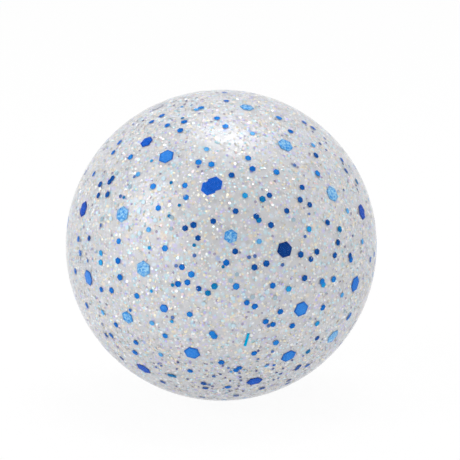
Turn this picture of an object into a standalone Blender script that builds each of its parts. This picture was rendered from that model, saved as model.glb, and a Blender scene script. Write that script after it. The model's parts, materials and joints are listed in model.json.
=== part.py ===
"""Squishy glitter ball: a clear rubber skin with a plugged fill neck, a gel filling, and blue
hexagon flakes that lie in the gel just under the skin.

Metres, +Z up. The ball rests on a small flat foot with its middle at the origin. The fill plug
is on the +X side, and the side with the placed flakes, the show side, faces front left."""

import math

import bmesh
import bpy
from mathutils import Matrix, Vector

MM = 0.001

# Ball
BALL_RADIUS = 35 * MM
SKIN_WALL = 1.5 * MM
FOOT_DEPTH = 0.7 * MM
GAP = 0.3 * MM

# Fill neck on the +X side, and the stopper pushed into it
SEAT_RADIUS = 5.0 * MM
SEAT_DEPTH = 1.5 * MM
SEAT_LIP = 0.3 * MM
NECK_BORE_RADIUS = 3.0 * MM
NECK_RADIUS = 6.0 * MM
NECK_END = 28.5 * MM
BARB_RADIUS = 3.9 * MM
BARB_LENGTH = 4.0 * MM
BARB_TIP_RADIUS = 1.4 * MM
BARB_LAND = 0.6 * MM

# Flakes, cut from film: hexagons by their width across flats, and a strip
HEXAGON_CUTS = {"large": 3.15 * MM, "middle": 2.7 * MM, "small": 1.75 * MM}
FLAKE_THICKNESS = 0.15 * MM
STRIP_LENGTH = 3.5 * MM
STRIP_WIDTH = 0.55 * MM

# How the flakes lie: height of their middle plane over the ball's centre, and the radius that
# their layer seems to have from the show side, which it is nearer to than the ball's outline is
FLAKE_HEIGHT = 32.96 * MM
SEEN_HEIGHT = 34.35 * MM
UNDER_FLAKE_DROP = FLAKE_THICKNESS + GAP
SHOW_AZIMUTH = math.radians(-30)
SHOW_ELEVATION = math.radians(12)

# Flakes on the show side: film, cut, millimetres right of and above the ball's centre as it is
# seen from there, then how far a corner is turned to the left of upright, in degrees
SHOW_FLAKES = (
    ("navy", "large", 14.2, -1.0, -14),
    ("royal", "large", 31.8, 7.5, -15),
    ("royal", "large", 7.5, -30.8, -2),
    ("royal", "large", -31.2, 8.2, -10),
    ("royal", "middle", -16.9, 23.4, -8),
    ("royal", "large", -1.5, 13.7, -10),
    ("royal", "large", -17.6, -27.9, 20),
    ("mid", "large", 30.3, -8.8, -10),
    ("mid", "large", -12.4, 20.0, 8),
    ("mid", "large", -30.3, -7.4, 10),
    ("mid", "large", -6.6, -24.3, 10),
    ("mid", "large", 18.0, -14.4, -8),
    ("mid", "large", 15.2, -25.1, 10),
    ("pale", "middle", -14.2, 31.0, 15),
    ("pale", "large", -22.3, 7.0, 0),
    ("pale", "middle", 2.1, 2.0, -8),
    ("pale", "middle", 5.8, 31.2, 8),
    ("pale", "large", 14.5, 22.6, 2),
    ("pale", "large", 25.1, 11.6, 8),
    ("pale", "large", -17.5, -5.3, -3),
    ("pale", "middle", -21.2, -16.3, -12),
    ("pale", "large", 25.2, -20.7, -15),
)
UNDER_FLAKE = (-2.8, 12.9, -10)
SMALL_FLAKE = (-12.9, -14.2, 20)
STRIP = (5.7, -21.3, -5)

# Flakes on the far side follow a sunflower spiral and stay clear of the foot and the neck
SPIRAL_POINTS = 52
SPIRAL_TURN = math.radians(137.508)
SHOW_SIDE_LIMIT = 0.08
FOOT_CLEAR_ANGLE = math.radians(20)
NECK_CLEAR_ANGLE = math.radians(20)
FAR_SIDE_FILMS = ("mid", "navy", "pale", "royal")
FAR_SIDE_CUTS = ("large", "large", "middle")

# Facets
SEGMENTS = 48
ARC_STEP = math.radians(7.5)
DOME_STEPS = 3
SHARP_ANGLE = math.radians(9)

# Colour, roughness and metallic value of each material
FINISHES = {
    "clear_rubber": ((0.80, 0.82, 0.84), 0.15, 0.0),
    "plug_rubber": ((0.62, 0.64, 0.67), 0.35, 0.0),
    "pearl_gel": ((0.58, 0.59, 0.62), 0.30, 0.0),
    "navy_film": ((0.005, 0.022, 0.14), 0.30, 0.6),
    "royal_film": ((0.008, 0.065, 0.48), 0.30, 0.6),
    "mid_film": ((0.035, 0.20, 0.70), 0.30, 0.6),
    "pale_film": ((0.13, 0.40, 0.85), 0.35, 0.5),
    "cyan_film": ((0.0, 0.36, 0.68), 0.30, 0.6),
}

CENTRE_HEIGHT = BALL_RADIUS - FOOT_DEPTH
INNER_RADIUS = BALL_RADIUS - SKIN_WALL
INNER_FOOT = CENTRE_HEIGHT - SKIN_WALL
GEL_RADIUS = INNER_RADIUS - GAP
SEAT_RIM = math.sqrt(BALL_RADIUS**2 - SEAT_RADIUS**2)
SEAT_FLOOR = SEAT_RIM - SEAT_DEPTH


def clear_scene():
    for thing in list(bpy.data.objects):
        bpy.data.objects.remove(thing, do_unlink=True)


def make_material(name):
    colour, roughness, metallic = FINISHES[name]
    material = bpy.data.materials.new(name)
    material.use_nodes = True
    shader = material.node_tree.nodes["Principled BSDF"]
    shader.inputs["Base Color"].default_value = (*colour, 1.0)
    shader.inputs["Roughness"].default_value = roughness
    shader.inputs["Metallic"].default_value = metallic
    return material


def arc(radius, start, end, steps):
    """Points (axial, radial) on an arc about the ball's centre, angles measured from +X."""
    angles = [start + (end - start) * step / steps for step in range(steps + 1)]
    return [(radius * math.cos(angle), radius * math.sin(angle)) for angle in angles]


def half_section(radius, end_radius):
    """The arc from the -X pole over the widest ring to where a ring of end_radius cuts it."""
    end = math.asin(end_radius / radius)
    near_half = arc(radius, math.pi, math.pi / 2, round(math.pi / 2 / ARC_STEP))
    far_half = arc(radius, math.pi / 2, end, round((math.pi / 2 - end) / ARC_STEP))
    return near_half + far_half[1:]


def turned_mesh(profile):
    """Turn a profile of (axial, radial) points about the X axis into a closed bmesh."""
    mesh = bmesh.new()
    points = [mesh.verts.new((axial, 0.0, radial)) for axial, radial in profile]
    rim = [mesh.edges.new(pair) for pair in zip(points, points[1:])]
    bmesh.ops.spin(
        mesh, geom=points + rim, cent=(0, 0, 0), axis=(1, 0, 0),
        angle=2 * math.pi, steps=SEGMENTS, use_merge=True,
    )
    bmesh.ops.remove_doubles(mesh, verts=mesh.verts[:], dist=0.001 * MM)
    bmesh.ops.recalc_face_normals(mesh, faces=mesh.faces[:])
    return mesh


def add_piece(name, mesh, material, centre):
    """Make the named object of a sub-part, carried by the ball's centre."""
    data = bpy.data.meshes.new(name)
    mesh.to_mesh(data)
    mesh.free()
    data.shade_smooth()
    data.set_sharp_from_angle(angle=SHARP_ANGLE)
    data.materials.append(material)
    piece = bpy.data.objects.new(name, data)
    bpy.context.collection.objects.link(piece)
    piece.parent = centre
    return piece


def settle_inside(mesh, outer_limit, level):
    """Flatten the bottom of an inner surface where the ball settles on its foot."""
    for point in mesh.verts:
        if point.co.length < outer_limit and point.co.z < -level:
            point.co.z = -level


def skin_mesh():
    """One moulding: ball wall, counterbored seat for the plug and the neck inside."""
    outside = half_section(BALL_RADIUS, SEAT_RADIUS + SEAT_LIP)
    seat_and_neck = [
        (SEAT_RIM - SEAT_LIP, SEAT_RADIUS),
        (SEAT_FLOOR, SEAT_RADIUS),
        (SEAT_FLOOR, NECK_BORE_RADIUS),
        (NECK_END, NECK_BORE_RADIUS),
        (NECK_END, NECK_RADIUS),
    ]
    inside = half_section(INNER_RADIUS, NECK_RADIUS)[::-1]
    mesh = turned_mesh(outside + seat_and_neck + inside)
    settle_inside(mesh, BALL_RADIUS - SKIN_WALL / 2, INNER_FOOT)
    bmesh.ops.bisect_plane(
        mesh, geom=mesh.verts[:] + mesh.edges[:] + mesh.faces[:],
        plane_co=(0, 0, -CENTRE_HEIGHT), plane_no=(0, 0, -1), clear_outer=True,
    )
    foot_rim = [edge for edge in mesh.edges if edge.is_boundary]
    bmesh.ops.holes_fill(mesh, edges=foot_rim, sides=0)
    bmesh.ops.recalc_face_normals(mesh, faces=mesh.faces[:])
    return mesh


def plug_mesh():
    """Stopper: a domed head flush in its seat, a stem, and a barb that catches behind the neck."""
    head_radius = SEAT_RADIUS - GAP
    stem_radius = NECK_BORE_RADIUS - GAP
    barb_start = NECK_END - GAP
    dome_radius = head_radius - SEAT_LIP
    dome = arc(BALL_RADIUS, 0.0, math.asin(dome_radius / BALL_RADIUS), DOME_STEPS)
    shank = [
        (SEAT_RIM - SEAT_LIP, head_radius),
        (SEAT_FLOOR + GAP, head_radius),
        (SEAT_FLOOR + GAP, stem_radius),
        (barb_start, stem_radius),
        (barb_start, BARB_RADIUS),
        (barb_start - BARB_LAND, BARB_RADIUS),
        (barb_start - BARB_LENGTH, BARB_TIP_RADIUS),
        (barb_start - BARB_LENGTH, 0.0),
    ]
    return turned_mesh(dome + shank)


def gel_mesh():
    """The filling: it fills the skin and closes round the neck and the plug's barb."""
    neck_room = NECK_RADIUS + GAP
    neck_end = NECK_END - GAP
    barb_room = BARB_RADIUS + GAP
    barb_end = neck_end - BARB_LENGTH - GAP
    hollow = [
        (neck_end, neck_room),
        (neck_end, barb_room),
        (barb_end, barb_room),
        (barb_end, 0.0),
    ]
    mesh = turned_mesh(half_section(GEL_RADIUS, neck_room) + hollow)
    settle_inside(mesh, BALL_RADIUS, INNER_FOOT - GAP)
    return mesh


def show_axes():
    """Right, up and towards the viewer, as the show side is seen."""
    right = Vector((math.cos(SHOW_AZIMUTH), math.sin(SHOW_AZIMUTH), 0.0))
    towards = Vector((
        math.sin(SHOW_AZIMUTH) * math.cos(SHOW_ELEVATION),
        -math.cos(SHOW_AZIMUTH) * math.cos(SHOW_ELEVATION),
        math.sin(SHOW_ELEVATION),
    ))
    return right, towards.cross(right), towards


def lying_flat(outward, upright, height, turn):
    """Placement of a flake that lies along the skin, turned about the outward direction."""
    side = upright.cross(outward).normalized()
    top = outward.cross(side)
    frame = Matrix((side, top, outward)).transposed().to_4x4()
    return Matrix.Translation(outward * height) @ frame @ Matrix.Rotation(turn, 4, "Z")


def show_place(across, above, turn, height=FLAKE_HEIGHT):
    """Placement of a flake that shows at a spot in the view of the show side."""
    right, up, towards = show_axes()
    depth = math.sqrt(SEEN_HEIGHT**2 - (across * MM)**2 - (above * MM)**2)
    outward = right * across * MM + up * above * MM + towards * depth
    return lying_flat(outward.normalized(), up, height, math.radians(turn))


def far_side_places():
    """Placements on a sunflower spiral, outside the show side and clear of foot and neck."""
    towards = show_axes()[2]
    places = []
    for point in range(SPIRAL_POINTS):
        height = 1 - (2 * point + 1) / SPIRAL_POINTS
        ring = math.sqrt(1 - height**2)
        turn = point * SPIRAL_TURN
        outward = Vector((ring * math.cos(turn), ring * math.sin(turn), height))
        shows = outward.dot(towards) > SHOW_SIDE_LIMIT
        over_foot = outward.angle(Vector((0, 0, -1))) < FOOT_CLEAR_ANGLE
        over_neck = outward.angle(Vector((1, 0, 0))) < NECK_CLEAR_ANGLE
        if not (shows or over_foot or over_neck):
            places.append(lying_flat(outward, Vector((0, 1, 0)), FLAKE_HEIGHT, turn))
    return places


def flake_layout():
    """Every flake: name, film, flats of its hexagon (None for the strip) and placement."""
    flakes = [(film, cut, show_place(*spot)) for film, cut, *spot in SHOW_FLAKES]
    for index, place in enumerate(far_side_places()):
        film = FAR_SIDE_FILMS[index % len(FAR_SIDE_FILMS)]
        cut = FAR_SIDE_CUTS[index % len(FAR_SIDE_CUTS)]
        flakes.append((film, cut, place))
    layout = [
        (f"hexagon_flake_{number:02d}", film, HEXAGON_CUTS[cut], place)
        for number, (film, cut, place) in enumerate(flakes, start=1)
    ]
    under = show_place(*UNDER_FLAKE, height=FLAKE_HEIGHT - UNDER_FLAKE_DROP)
    layout.append(("under_hexagon_flake", "royal", HEXAGON_CUTS["large"], under))
    small = show_place(*SMALL_FLAKE)
    layout.append(("small_hexagon_flake", "mid", HEXAGON_CUTS["small"], small))
    layout.append(("strip_flake", "cyan", None, show_place(*STRIP)))
    return layout


def add_flake_shape(mesh, flats, bottom, top, margin, place):
    """Add a hexagon or strip prism that stands between two heights over its middle plane."""
    middle = Matrix.Translation((0, 0, (top + bottom) / 2))
    if flats is None:
        size = (STRIP_WIDTH + 2 * margin, STRIP_LENGTH + 2 * margin, top - bottom, 1)
        bmesh.ops.create_cube(mesh, size=1.0, matrix=place @ middle @ Matrix.Diagonal(size))
        return
    corner_radius = flats / math.sqrt(3) + margin
    bmesh.ops.create_cone(
        mesh, cap_ends=True, segments=6, radius1=corner_radius, radius2=corner_radius,
        depth=top - bottom, matrix=place @ middle,
    )


def add_flake(name, film, flats, place, materials, centre):
    mesh = bmesh.new()
    half = FLAKE_THICKNESS / 2
    add_flake_shape(mesh, flats, -half, half, 0.0, Matrix.Identity(4))
    flake = add_piece(name, mesh, materials[film + "_film"], centre)
    flake.matrix_local = place


def cut_flake_pockets(gel, layout, centre):
    """Sink an open pocket in the gel for each flake to lie in."""
    mesh = bmesh.new()
    floor = -FLAKE_THICKNESS / 2 - GAP
    above_gel = 2 * SKIN_WALL
    for _, _, flats, place in layout:
        add_flake_shape(mesh, flats, floor, above_gel, GAP, place)
    bmesh.ops.recalc_face_normals(mesh, faces=mesh.faces[:])
    data = bpy.data.meshes.new("flake_pockets")
    mesh.to_mesh(data)
    mesh.free()
    pockets = bpy.data.objects.new("flake_pockets", data)
    bpy.context.collection.objects.link(pockets)
    pockets.parent = centre
    pockets.hide_render = True
    pockets.display_type = "WIRE"
    cut = gel.modifiers.new("flake_pockets", "BOOLEAN")
    cut.operation = "DIFFERENCE"
    cut.solver = "EXACT"
    cut.use_self = True
    cut.object = pockets


def main():
    clear_scene()
    materials = {name: make_material(name) for name in FINISHES}
    centre = bpy.data.objects.new("ball_centre", None)
    bpy.context.collection.objects.link(centre)
    centre.location = (0, 0, CENTRE_HEIGHT)

    add_piece("outer_skin", skin_mesh(), materials["clear_rubber"], centre)
    add_piece("fill_plug", plug_mesh(), materials["plug_rubber"], centre)
    gel = add_piece("gel_filling", gel_mesh(), materials["pearl_gel"], centre)

    layout = flake_layout()
    cut_flake_pockets(gel, layout, centre)
    for name, film, flats, place in layout:
        add_flake(name, film, flats, place, materials, centre)


main()
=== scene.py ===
"""Looks of the squishy glitter ball: clear satin skin, pearly gel, blue hexagon flakes, small blue
and pale dots, fine pearl glitter, a satin fill plug, and a plain pale studio."""

import json
import math

import bmesh
import bpy
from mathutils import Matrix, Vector


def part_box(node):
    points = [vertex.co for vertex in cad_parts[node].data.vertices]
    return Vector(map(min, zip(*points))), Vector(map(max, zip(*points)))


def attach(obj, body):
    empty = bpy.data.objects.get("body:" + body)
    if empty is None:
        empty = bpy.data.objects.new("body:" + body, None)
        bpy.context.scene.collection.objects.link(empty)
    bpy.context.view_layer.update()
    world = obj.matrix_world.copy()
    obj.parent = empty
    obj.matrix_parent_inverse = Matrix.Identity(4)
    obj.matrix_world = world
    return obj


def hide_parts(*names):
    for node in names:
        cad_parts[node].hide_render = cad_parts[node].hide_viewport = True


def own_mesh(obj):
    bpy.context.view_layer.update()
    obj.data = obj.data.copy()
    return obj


MM = 0.001

# Where the photograph shows the ball, in pixels of its 460 x 460 frame
PHOTO_SIDE = 460
BALL_MIDDLE_PX = (221.3, 245.2)
BALL_RADIUS_PX = 155.5

# Camera: the show side, seen from a little above through a long lens
CAMERA_AZIMUTH = math.radians(-30)
CAMERA_ELEVATION = math.radians(12)
CAMERA_DISTANCE = 0.75
CAMERA_NEAR = 0.01
SENSOR_MM = 36

# Skin, neck and plug, as in the CAD solids
SKIN_WALL = 1.5 * MM
SEAT_RADIUS = 5.0 * MM
SEAT_LIP = 0.4 * MM
SEAT_DEPTH = 1.5 * MM
NECK_BORE_RADIUS = 3.0 * MM
NECK_RADIUS = 6.0 * MM
NECK_END = 28.5 * MM
BARB_RADIUS = 3.9 * MM
BARB_LENGTH = 4.0 * MM
BARB_TIP_RADIUS = 1.4 * MM
BARB_LAND = 0.6 * MM
GAP = 0.3 * MM

# The flat foot: how softly the skin bends into it, and how many times that far up the bend reaches
FOOT_SOFTNESS = 0.06 * MM
FOOT_REACH = 20

# Gel: how far its surface lies under the solid's, and how far off the neck it ends
GEL_SINK = 0.35 * MM
GEL_AT_NECK = 0.05 * MM

# Large flakes: how far a face bulges, and how far the lower one of the overlapping pair is raised
FLAKE_CROWN = 0.04 * MM
UNDER_LIFT = 0.26 * MM

# Rings of a flake's plate: share of its outline, height in halves of its thickness and in crowns
FLAKE_RINGS = ((1.0, -1.0, 0.0), (1.0, 0.6, 0.0), (0.97, 1.0, 0.0), (0.5, 1.0, 0.75))

# Small dots: width across flats, a speck's share of it, how they lie, and the room that they keep to
# the large flakes as a share of their width
DOT_FLATS = 1.27 * MM
SPECK_SHARE = 0.6
DOT_THICKNESS = 0.05 * MM
DOT_SIZE_SPREAD = 0.08
DOT_TILT = math.radians(4)
DOT_LIFT_LOW = 0.13 * MM
DOT_LIFT_HIGH = 0.25 * MM
DOT_CLEARANCE = 0.6
FIRST_DOT_SEED = 1

# Fine pearl glitter, likewise
PEARL_FLATS = 0.42 * MM
PEARL_THICKNESS = 0.03 * MM
PEARL_SIZE_SPREAD = 0.5
PEARL_LIFT_LOW = 0.03 * MM
PEARL_LIFT_HIGH = 0.12 * MM
PEARL_CLEARANCE = 0.4
FIRST_PEARL_SEED = 11

# How far from the neck the glitter ends
GLITTER_FROM_NECK = 1.2 * MM

# How high the glitter seems to lie above the ball's middle from where the camera stands, and how far
# round the ball the show side reaches: past this cosine the small dots are strewn at random
SEEN_HEIGHT = 34.35 * MM
SHOW_EDGE = 0.05

# Small dots of the show side: millimetres to the right of and above the ball's middle, as seen
DOT_PLACES = {
    "navy": (
        (-6.2, 4.5), (-8.1, 3.8), (-1.8, 5.35), (3.2, 7.6), (10.8, 11.2), (11.1, 4.5), (7.8, 6.45),
        (-5.2, 1.6), (3.1, -1.4), (10.05, -4.1), (7.4, -4.95), (-5.05, -9.7), (17.7, 10.2), (19.9, 9.1),
        (14.7, 7.7), (23.95, 5.1), (26.3, 0.6), (21.5, -1.5), (17.8, -2.1), (20.15, -3.15),
        (25.6, -2.3), (29.1, -2.45), (18.7, -7.4), (18.2, 13.0), (21.4, 20.3), (28.2, 16.8),
        (2.3, 15.7), (-24.6, 15.1), (-25.25, 14.3), (-27.35, 13.8), (-27.8, 11.25), (-25.7, 11.45),
        (-30.1, 1.6), (-26.0, -20.3), (-22.4, -25.45), (-13.2, -30.8), (-4.0, -31.25), (-3.6, -32.3),
        (9.15, -32.25), (-4.25, -34.0), (3.3, -33.8), (15.15, -30.4), (14.8, -30.9), (21.7, -21.05),
        (17.55, -27.4), (17.1, -27.9),
    ),
    "royal": (
        (1.1, -3.9), (-8.8, -4.9), (-7.6, -8.3), (-9.7, -8.65), (11.5, -9.05), (1.2, 32.6), (0.75, 34.2),
        (-8.4, 27.9), (-9.25, 25.9), (7.0, 17.1), (-32.3, 1.4), (-32.25, -1.8), (-23.25, -3.5),
        (-32.9, -5.8), (-22.8, -7.2), (-27.1, -10.0), (-24.8, -10.2), (-13.4, 29.3), (-15.75, 27.9),
        (-12.2, 27.1), (-23.0, 23.25), (-24.4, 20.95), (-28.8, 16.1), (15.7, 25.75), (18.7, 27.7),
        (20.7, 26.4), (27.2, 19.2), (33.6, -3.25), (34.2, -2.1), (29.3, -3.25), (-30.35, -13.55),
        (-23.8, -17.95), (-24.9, -20.4), (-19.3, -21.95), (-19.5, -24.25), (5.7, -12.85), (7.5, -13.75),
        (9.95, -17.15), (11.6, -17.8), (7.4, -24.4), (0.0, -26.45), (-7.05, -28.4), (4.05, -27.75),
        (3.3, -28.25), (1.5, -32.1), (13.25, -14.9), (22.9, -14.1), (15.95, -18.15), (29.0, -15.8),
        (28.6, -16.4), (19.4, -27.15),
    ),
    "bright": (
        (-7.9, 10.7), (3.3, -9.2), (-6.7, -6.5), (-4.55, 31.1), (-0.95, 28.7), (0.95, 26.8), (-5.1, 18.6),
        (-2.2, 18.1), (6.05, 19.55), (-8.15, 13.4), (12.4, 16.4), (-23.1, 0.9), (-12.6, -0.7),
        (-19.0, -11.4), (-14.15, 8.35), (-15.3, 13.2), (-20.5, 19.9), (13.05, 28.75), (21.7, 16.2),
        (-12.65, -20.4), (-7.1, -15.5), (-2.05, -19.8), (-1.6, -20.45), (12.3, -21.95), (22.7, -8.2),
        (25.3, -7.7),
    ),
    "sky": (
        (7.05, 25.2), (-3.3, 21.6), (-16.3, 3.5), (-18.8, 16.0), (20.8, 22.6), (28.55, 7.75), (31.9, 0.8),
        (-26.8, -15.2), (-15.6, -17.5), (-13.7, -24.7), (27.3, -11.3), (-5.6, 30.7), (8.45, 0.85),
    ),
    "cyan": (
        (5.3, 11.1), (19.7, 3.6), (15.1, -9.8), (23.0, -8.95), (21.65, -17.7), (-27.2, -1.75),
        (-27.3, -3.9),
    ),
    "teal": (
        (9.2, 10.3), (8.4, 5.6), (-1.55, -9.15), (-3.0, -10.7), (26.7, 3.6), (-11.6, -29.4),
        (-10.8, -29.6), (19.6, -24.1), (30.5, 14.25),
    ),
    "iris": (
        (-14.2, -26.8), (-13.6, -27.2), (-14.8, -27.6), (1.6, -27.7), (4.1, -28.9), (10.5, -27.0),
        (11.8, -30.4), (12.9, -30.1), (0.5, -32.4), (8.3, -25.7), (18.5, -25.1), (-2.7, -31.5),
        (23.7, 21.5), (28.8, 17.7), (27.7, 12.5), (19.7, 7.0), (-6.7, 31.7), (-19.8, 27.3),
    ),
    # Among the plum specks, the one at (-5.2, 17.6) is a painted shadow: a dark speck just under the
    # bright dot at (-5.1, 18.6), where that dot's shadow falls.
    "plum": (
        (-10.1, -28.0), (-0.2, -29.2), (-2.0, -31.9), (0.3, -27.2), (8.3, -23.8), (16.0, -26.0),
        (11.7, -28.0), (14.0, -27.9), (12.5, -28.8), (4.3, -29.8), (4.4, -30.6), (2.0, -30.7),
        (4.9, -32.9), (1.9, -33.0), (7.9, -28.4), (3.9, -31.8), (0.9, -30.0), (-9.8, -26.4),
        (-7.6, -30.3), (-10.1, -31.9), (29.7, 2.1), (30.4, 13.5), (30.7, 12.6), (27.5, 18.3),
        (23.7, 23.1), (20.7, 25.6), (32.6, 9.7), (-5.2, 17.6), (-17.6, 28.1), (-10.7, 31.6), (-7.9, 32.5),
    ),
    "frost": (
        (-13.0, 15.0), (-13.9, 12.6), (-17.5, 9.7), (-14.8, 5.6), (-21.1, 4.0), (-18.3, 2.7),
        (-18.5, 7.7), (-24.9, 6.0), (2.6, -11.9), (9.1, -11.9), (2.7, -18.0), (10.2, -10.5), (18.5, 5.4),
        (-4.0, -13.1),
    ),
    "mist": (
        (-23.6, 16.3), (-20.6, 13.2), (-11.2, 3.7), (-11.1, 6.2), (-26.9, 6.0), (7.0, -11.6),
        (12.0, -11.8), (2.1, -7.9), (3.5, -6.5), (16.2, 5.7),
    ),
}

# Smaller specks among them, in the same tints or violet
SPECK_PLACES = {
    "royal": ((-20.5, -14.6), (-18.6, -6.6), (11.9, -27.1)),
    "sky": ((-8.9, 31.3), (-7.7, -25.6), (2.2, -28.6), (10.1, -27.3)),
    "cyan": ((-11.1, -17.1), (-15.7, -10.3), (-16.1, -0.6), (-15.7, 19.0)),
    "teal": (
        (-21.95, 10.8), (-11.65, 6.55), (-11.25, 14.05), (0.4, -4.8), (-10.9, -8.9), (-9.4, 8.95),
        (-6.05, 0.0), (-8.75, 28.75),
    ),
    "violet": (
        (6.2, -2.7), (-10.1, -4.6), (-6.0, -2.3), (16.5, 18.0), (-22.7, 11.05), (18.8, 1.95),
        (-10.95, -16.2), (10.6, -18.15), (11.55, -24.0), (-1.7, -29.6), (13.4, -29.15), (-27.2, 4.5),
        (-30.4, -3.55), (-19.6, 15.45), (22.3, 22.9), (23.3, 24.1), (-26.9, -17.9),
        (7.5, -2.45), (13.7, -4.4),
    ),
}

# Lamps: where they stand to the right of, above and in front of the ball, in lamp distances, and the
# width and height, in metres, and brightness of their faces
LAMP_DISTANCE = 0.7
LAMPS = {
    "overhead_softbox": {"stands": (0.08, 1.0, 0.0), "size": (0.36, 0.17), "brightness": 7.5},
    "left_softbox": {"stands": (-0.77, 0.48, 0.42), "size": (0.22, 0.34), "brightness": 4.2},
    "left_fill": {"stands": (-0.80, 0.08, 0.58), "size": (0.9, 0.34), "brightness": 1.03},
}

# World: the dimmer room lies to the left, above and in front of the ball, and the span gives the cosines
# to that direction at which the light begins to fade and is dimmest
WORLD_BRIGHTNESS = 1.0
ROOM_BRIGHTNESS = 0.5
ROOM_DIRECTION = (-0.55, 0.45, 0.75)
ROOM_SPAN = (-0.1, 0.9)

# Floor: half its width, its paint, and how white it looks to the camera and in gloss
FLOOR_HALF = 4.0
FLOOR_PAINT = 0.95
FLOOR_GLOW_SEEN = 0.94
FLOOR_GLOW_IN_GLOSS = 0.75

# The gel wets the skin and bends light nearly as it does, so the skin itself shines little
SKIN_IOR = 1.1

# Films: share of metal in their shine, middle tone of their print, how ragged their dark edge is, and the
# cloudy print and cut edge of the small dots. On the small dots the cloudy print is a painted reflection:
# lighter and darker patches across each dot stand in for the light and shade that its slight curve and
# tilt catch.
FILM_METALLIC = 0.12
MIDDLE_TONE = 0.5
EDGE_RAGGEDNESS = 0.5
DOT_PAINTED_SHEEN_SCALE = 900.0
DOT_PAINTED_SHEEN_CONTRAST = 2.5
DOT_EDGE_SHADE = 0.6

# Pearl glitter: its roughness, and how dusky it turns at its edge
PEARL_ROUGHNESS = 0.32
PEARL_EDGE_SHARE = 0.5

# Material slots of the skin's faces and of the flakes painted pale at the outline, after the first
WETTED_FACE = 1
MILKY_FACE = 2
OUTLINE_SHEEN_FACE = 1

# A Mix node's colour sockets go by number, because it has others of the same names
MIX_FIRST = 6
MIX_SECOND = 7
MIX_RESULT = 2

# Mesh: steps of turned pieces and arcs, how often the glitter's ground is split finer, the angle past
# which an edge stays sharp, and the distance and the decimals within which points count as one
TURN_STEPS = 144
ARC_STEP = math.radians(2.5)
DOME_STEP = math.radians(1)
LIP_STEP = math.radians(15)
GROUND_ROUNDS = 5
SHARP_ANGLE = math.radians(40)
MERGE_DISTANCE = 0.001 * MM
POINT_DECIMALS = 7

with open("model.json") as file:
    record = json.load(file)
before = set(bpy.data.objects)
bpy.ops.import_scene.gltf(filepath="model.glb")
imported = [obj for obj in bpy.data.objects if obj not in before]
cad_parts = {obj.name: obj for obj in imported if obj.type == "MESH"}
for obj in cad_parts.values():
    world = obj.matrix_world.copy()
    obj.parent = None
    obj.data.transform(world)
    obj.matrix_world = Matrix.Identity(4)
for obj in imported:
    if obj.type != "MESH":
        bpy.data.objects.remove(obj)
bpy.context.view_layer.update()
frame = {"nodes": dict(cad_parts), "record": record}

SKIN_LOW, SKIN_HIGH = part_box("outer_skin")
BALL_RADIUS = (SKIN_HIGH.y - SKIN_LOW.y) / 2
CENTRE = Vector((0.0, 0.0, SKIN_HIGH.z - BALL_RADIUS))
FOOT_LEVEL = SKIN_LOW.z - CENTRE.z
INNER_RADIUS = BALL_RADIUS - SKIN_WALL
GEL_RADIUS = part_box("gel_filling")[1].y - GEL_SINK
GEL_FOOT_LEVEL = FOOT_LEVEL + SKIN_WALL + GAP + GEL_SINK


# Helpers for node trees

def set_inputs(tree, node, inputs):
    """Set a node's sockets, by name or number, to plain values or feed them from other sockets."""
    for socket, value in inputs.items():
        if isinstance(value, bpy.types.NodeSocket):
            tree.links.new(value, node.inputs[socket])
        else:
            node.inputs[socket].default_value = value


def add_node(tree, kind, inputs=None, **settings):
    """Add a node with its settings and inputs."""
    node = tree.nodes.new(kind)
    for name, value in settings.items():
        setattr(node, name, value)
    set_inputs(tree, node, inputs or {})
    return node


def mix_colour(tree, factor, first, second):
    """Blend two colours, and give the socket of the result."""
    blend = add_node(tree, "ShaderNodeMix", {
        "Factor": factor, MIX_FIRST: first, MIX_SECOND: second,
    }, data_type="RGBA")
    return blend.outputs[MIX_RESULT]


def add_sockets(tree, direction, sockets):
    """Give a node group its named inputs or outputs: (name, kind, default value or None)."""
    made = {}
    for name, kind, value in sockets:
        socket = tree.interface.new_socket(name, in_out=direction, socket_type="NodeSocket" + kind)
        if value is not None:
            socket.default_value = value
        made[name] = socket
    return made


def new_material(name):
    """A material with a Principled shader, and its node tree."""
    material = bpy.data.materials.new(name)
    material.use_nodes = True
    tree = material.node_tree
    return material, tree, tree.nodes["Principled BSDF"]


# Helpers for objects

def mesh_data(name, mesh):
    """Turn a bmesh into mesh data."""
    data = bpy.data.meshes.new(name)
    mesh.to_mesh(data)
    mesh.free()
    return data


def add_object(name, data):
    """Put an object with the given data into the scene."""
    added = bpy.data.objects.new(name, data)
    bpy.context.collection.objects.link(added)
    return added


# The show side

def show_axes():
    """Right, up and towards the camera."""
    right = Vector((math.cos(CAMERA_AZIMUTH), math.sin(CAMERA_AZIMUTH), 0.0))
    towards = Vector((
        math.sin(CAMERA_AZIMUTH) * math.cos(CAMERA_ELEVATION),
        -math.cos(CAMERA_AZIMUTH) * math.cos(CAMERA_ELEVATION),
        math.sin(CAMERA_ELEVATION),
    ))
    return right, towards.cross(right), towards


def from_show_side(place):
    """A place given to the right, upwards and towards the camera, on the frame's own axes."""
    return sum((axis * length for axis, length in zip(show_axes(), place)), Vector())


def show_place(across, above):
    """Where a dot lies on the gel that the camera sees at millimetres from the ball's middle."""
    flat = Vector((across, above)) * MM
    depth = math.sqrt(SEEN_HEIGHT**2 - flat.length_squared)
    return from_show_side((*flat, depth)).normalized() * GEL_RADIUS


# Shared surface effects

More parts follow.
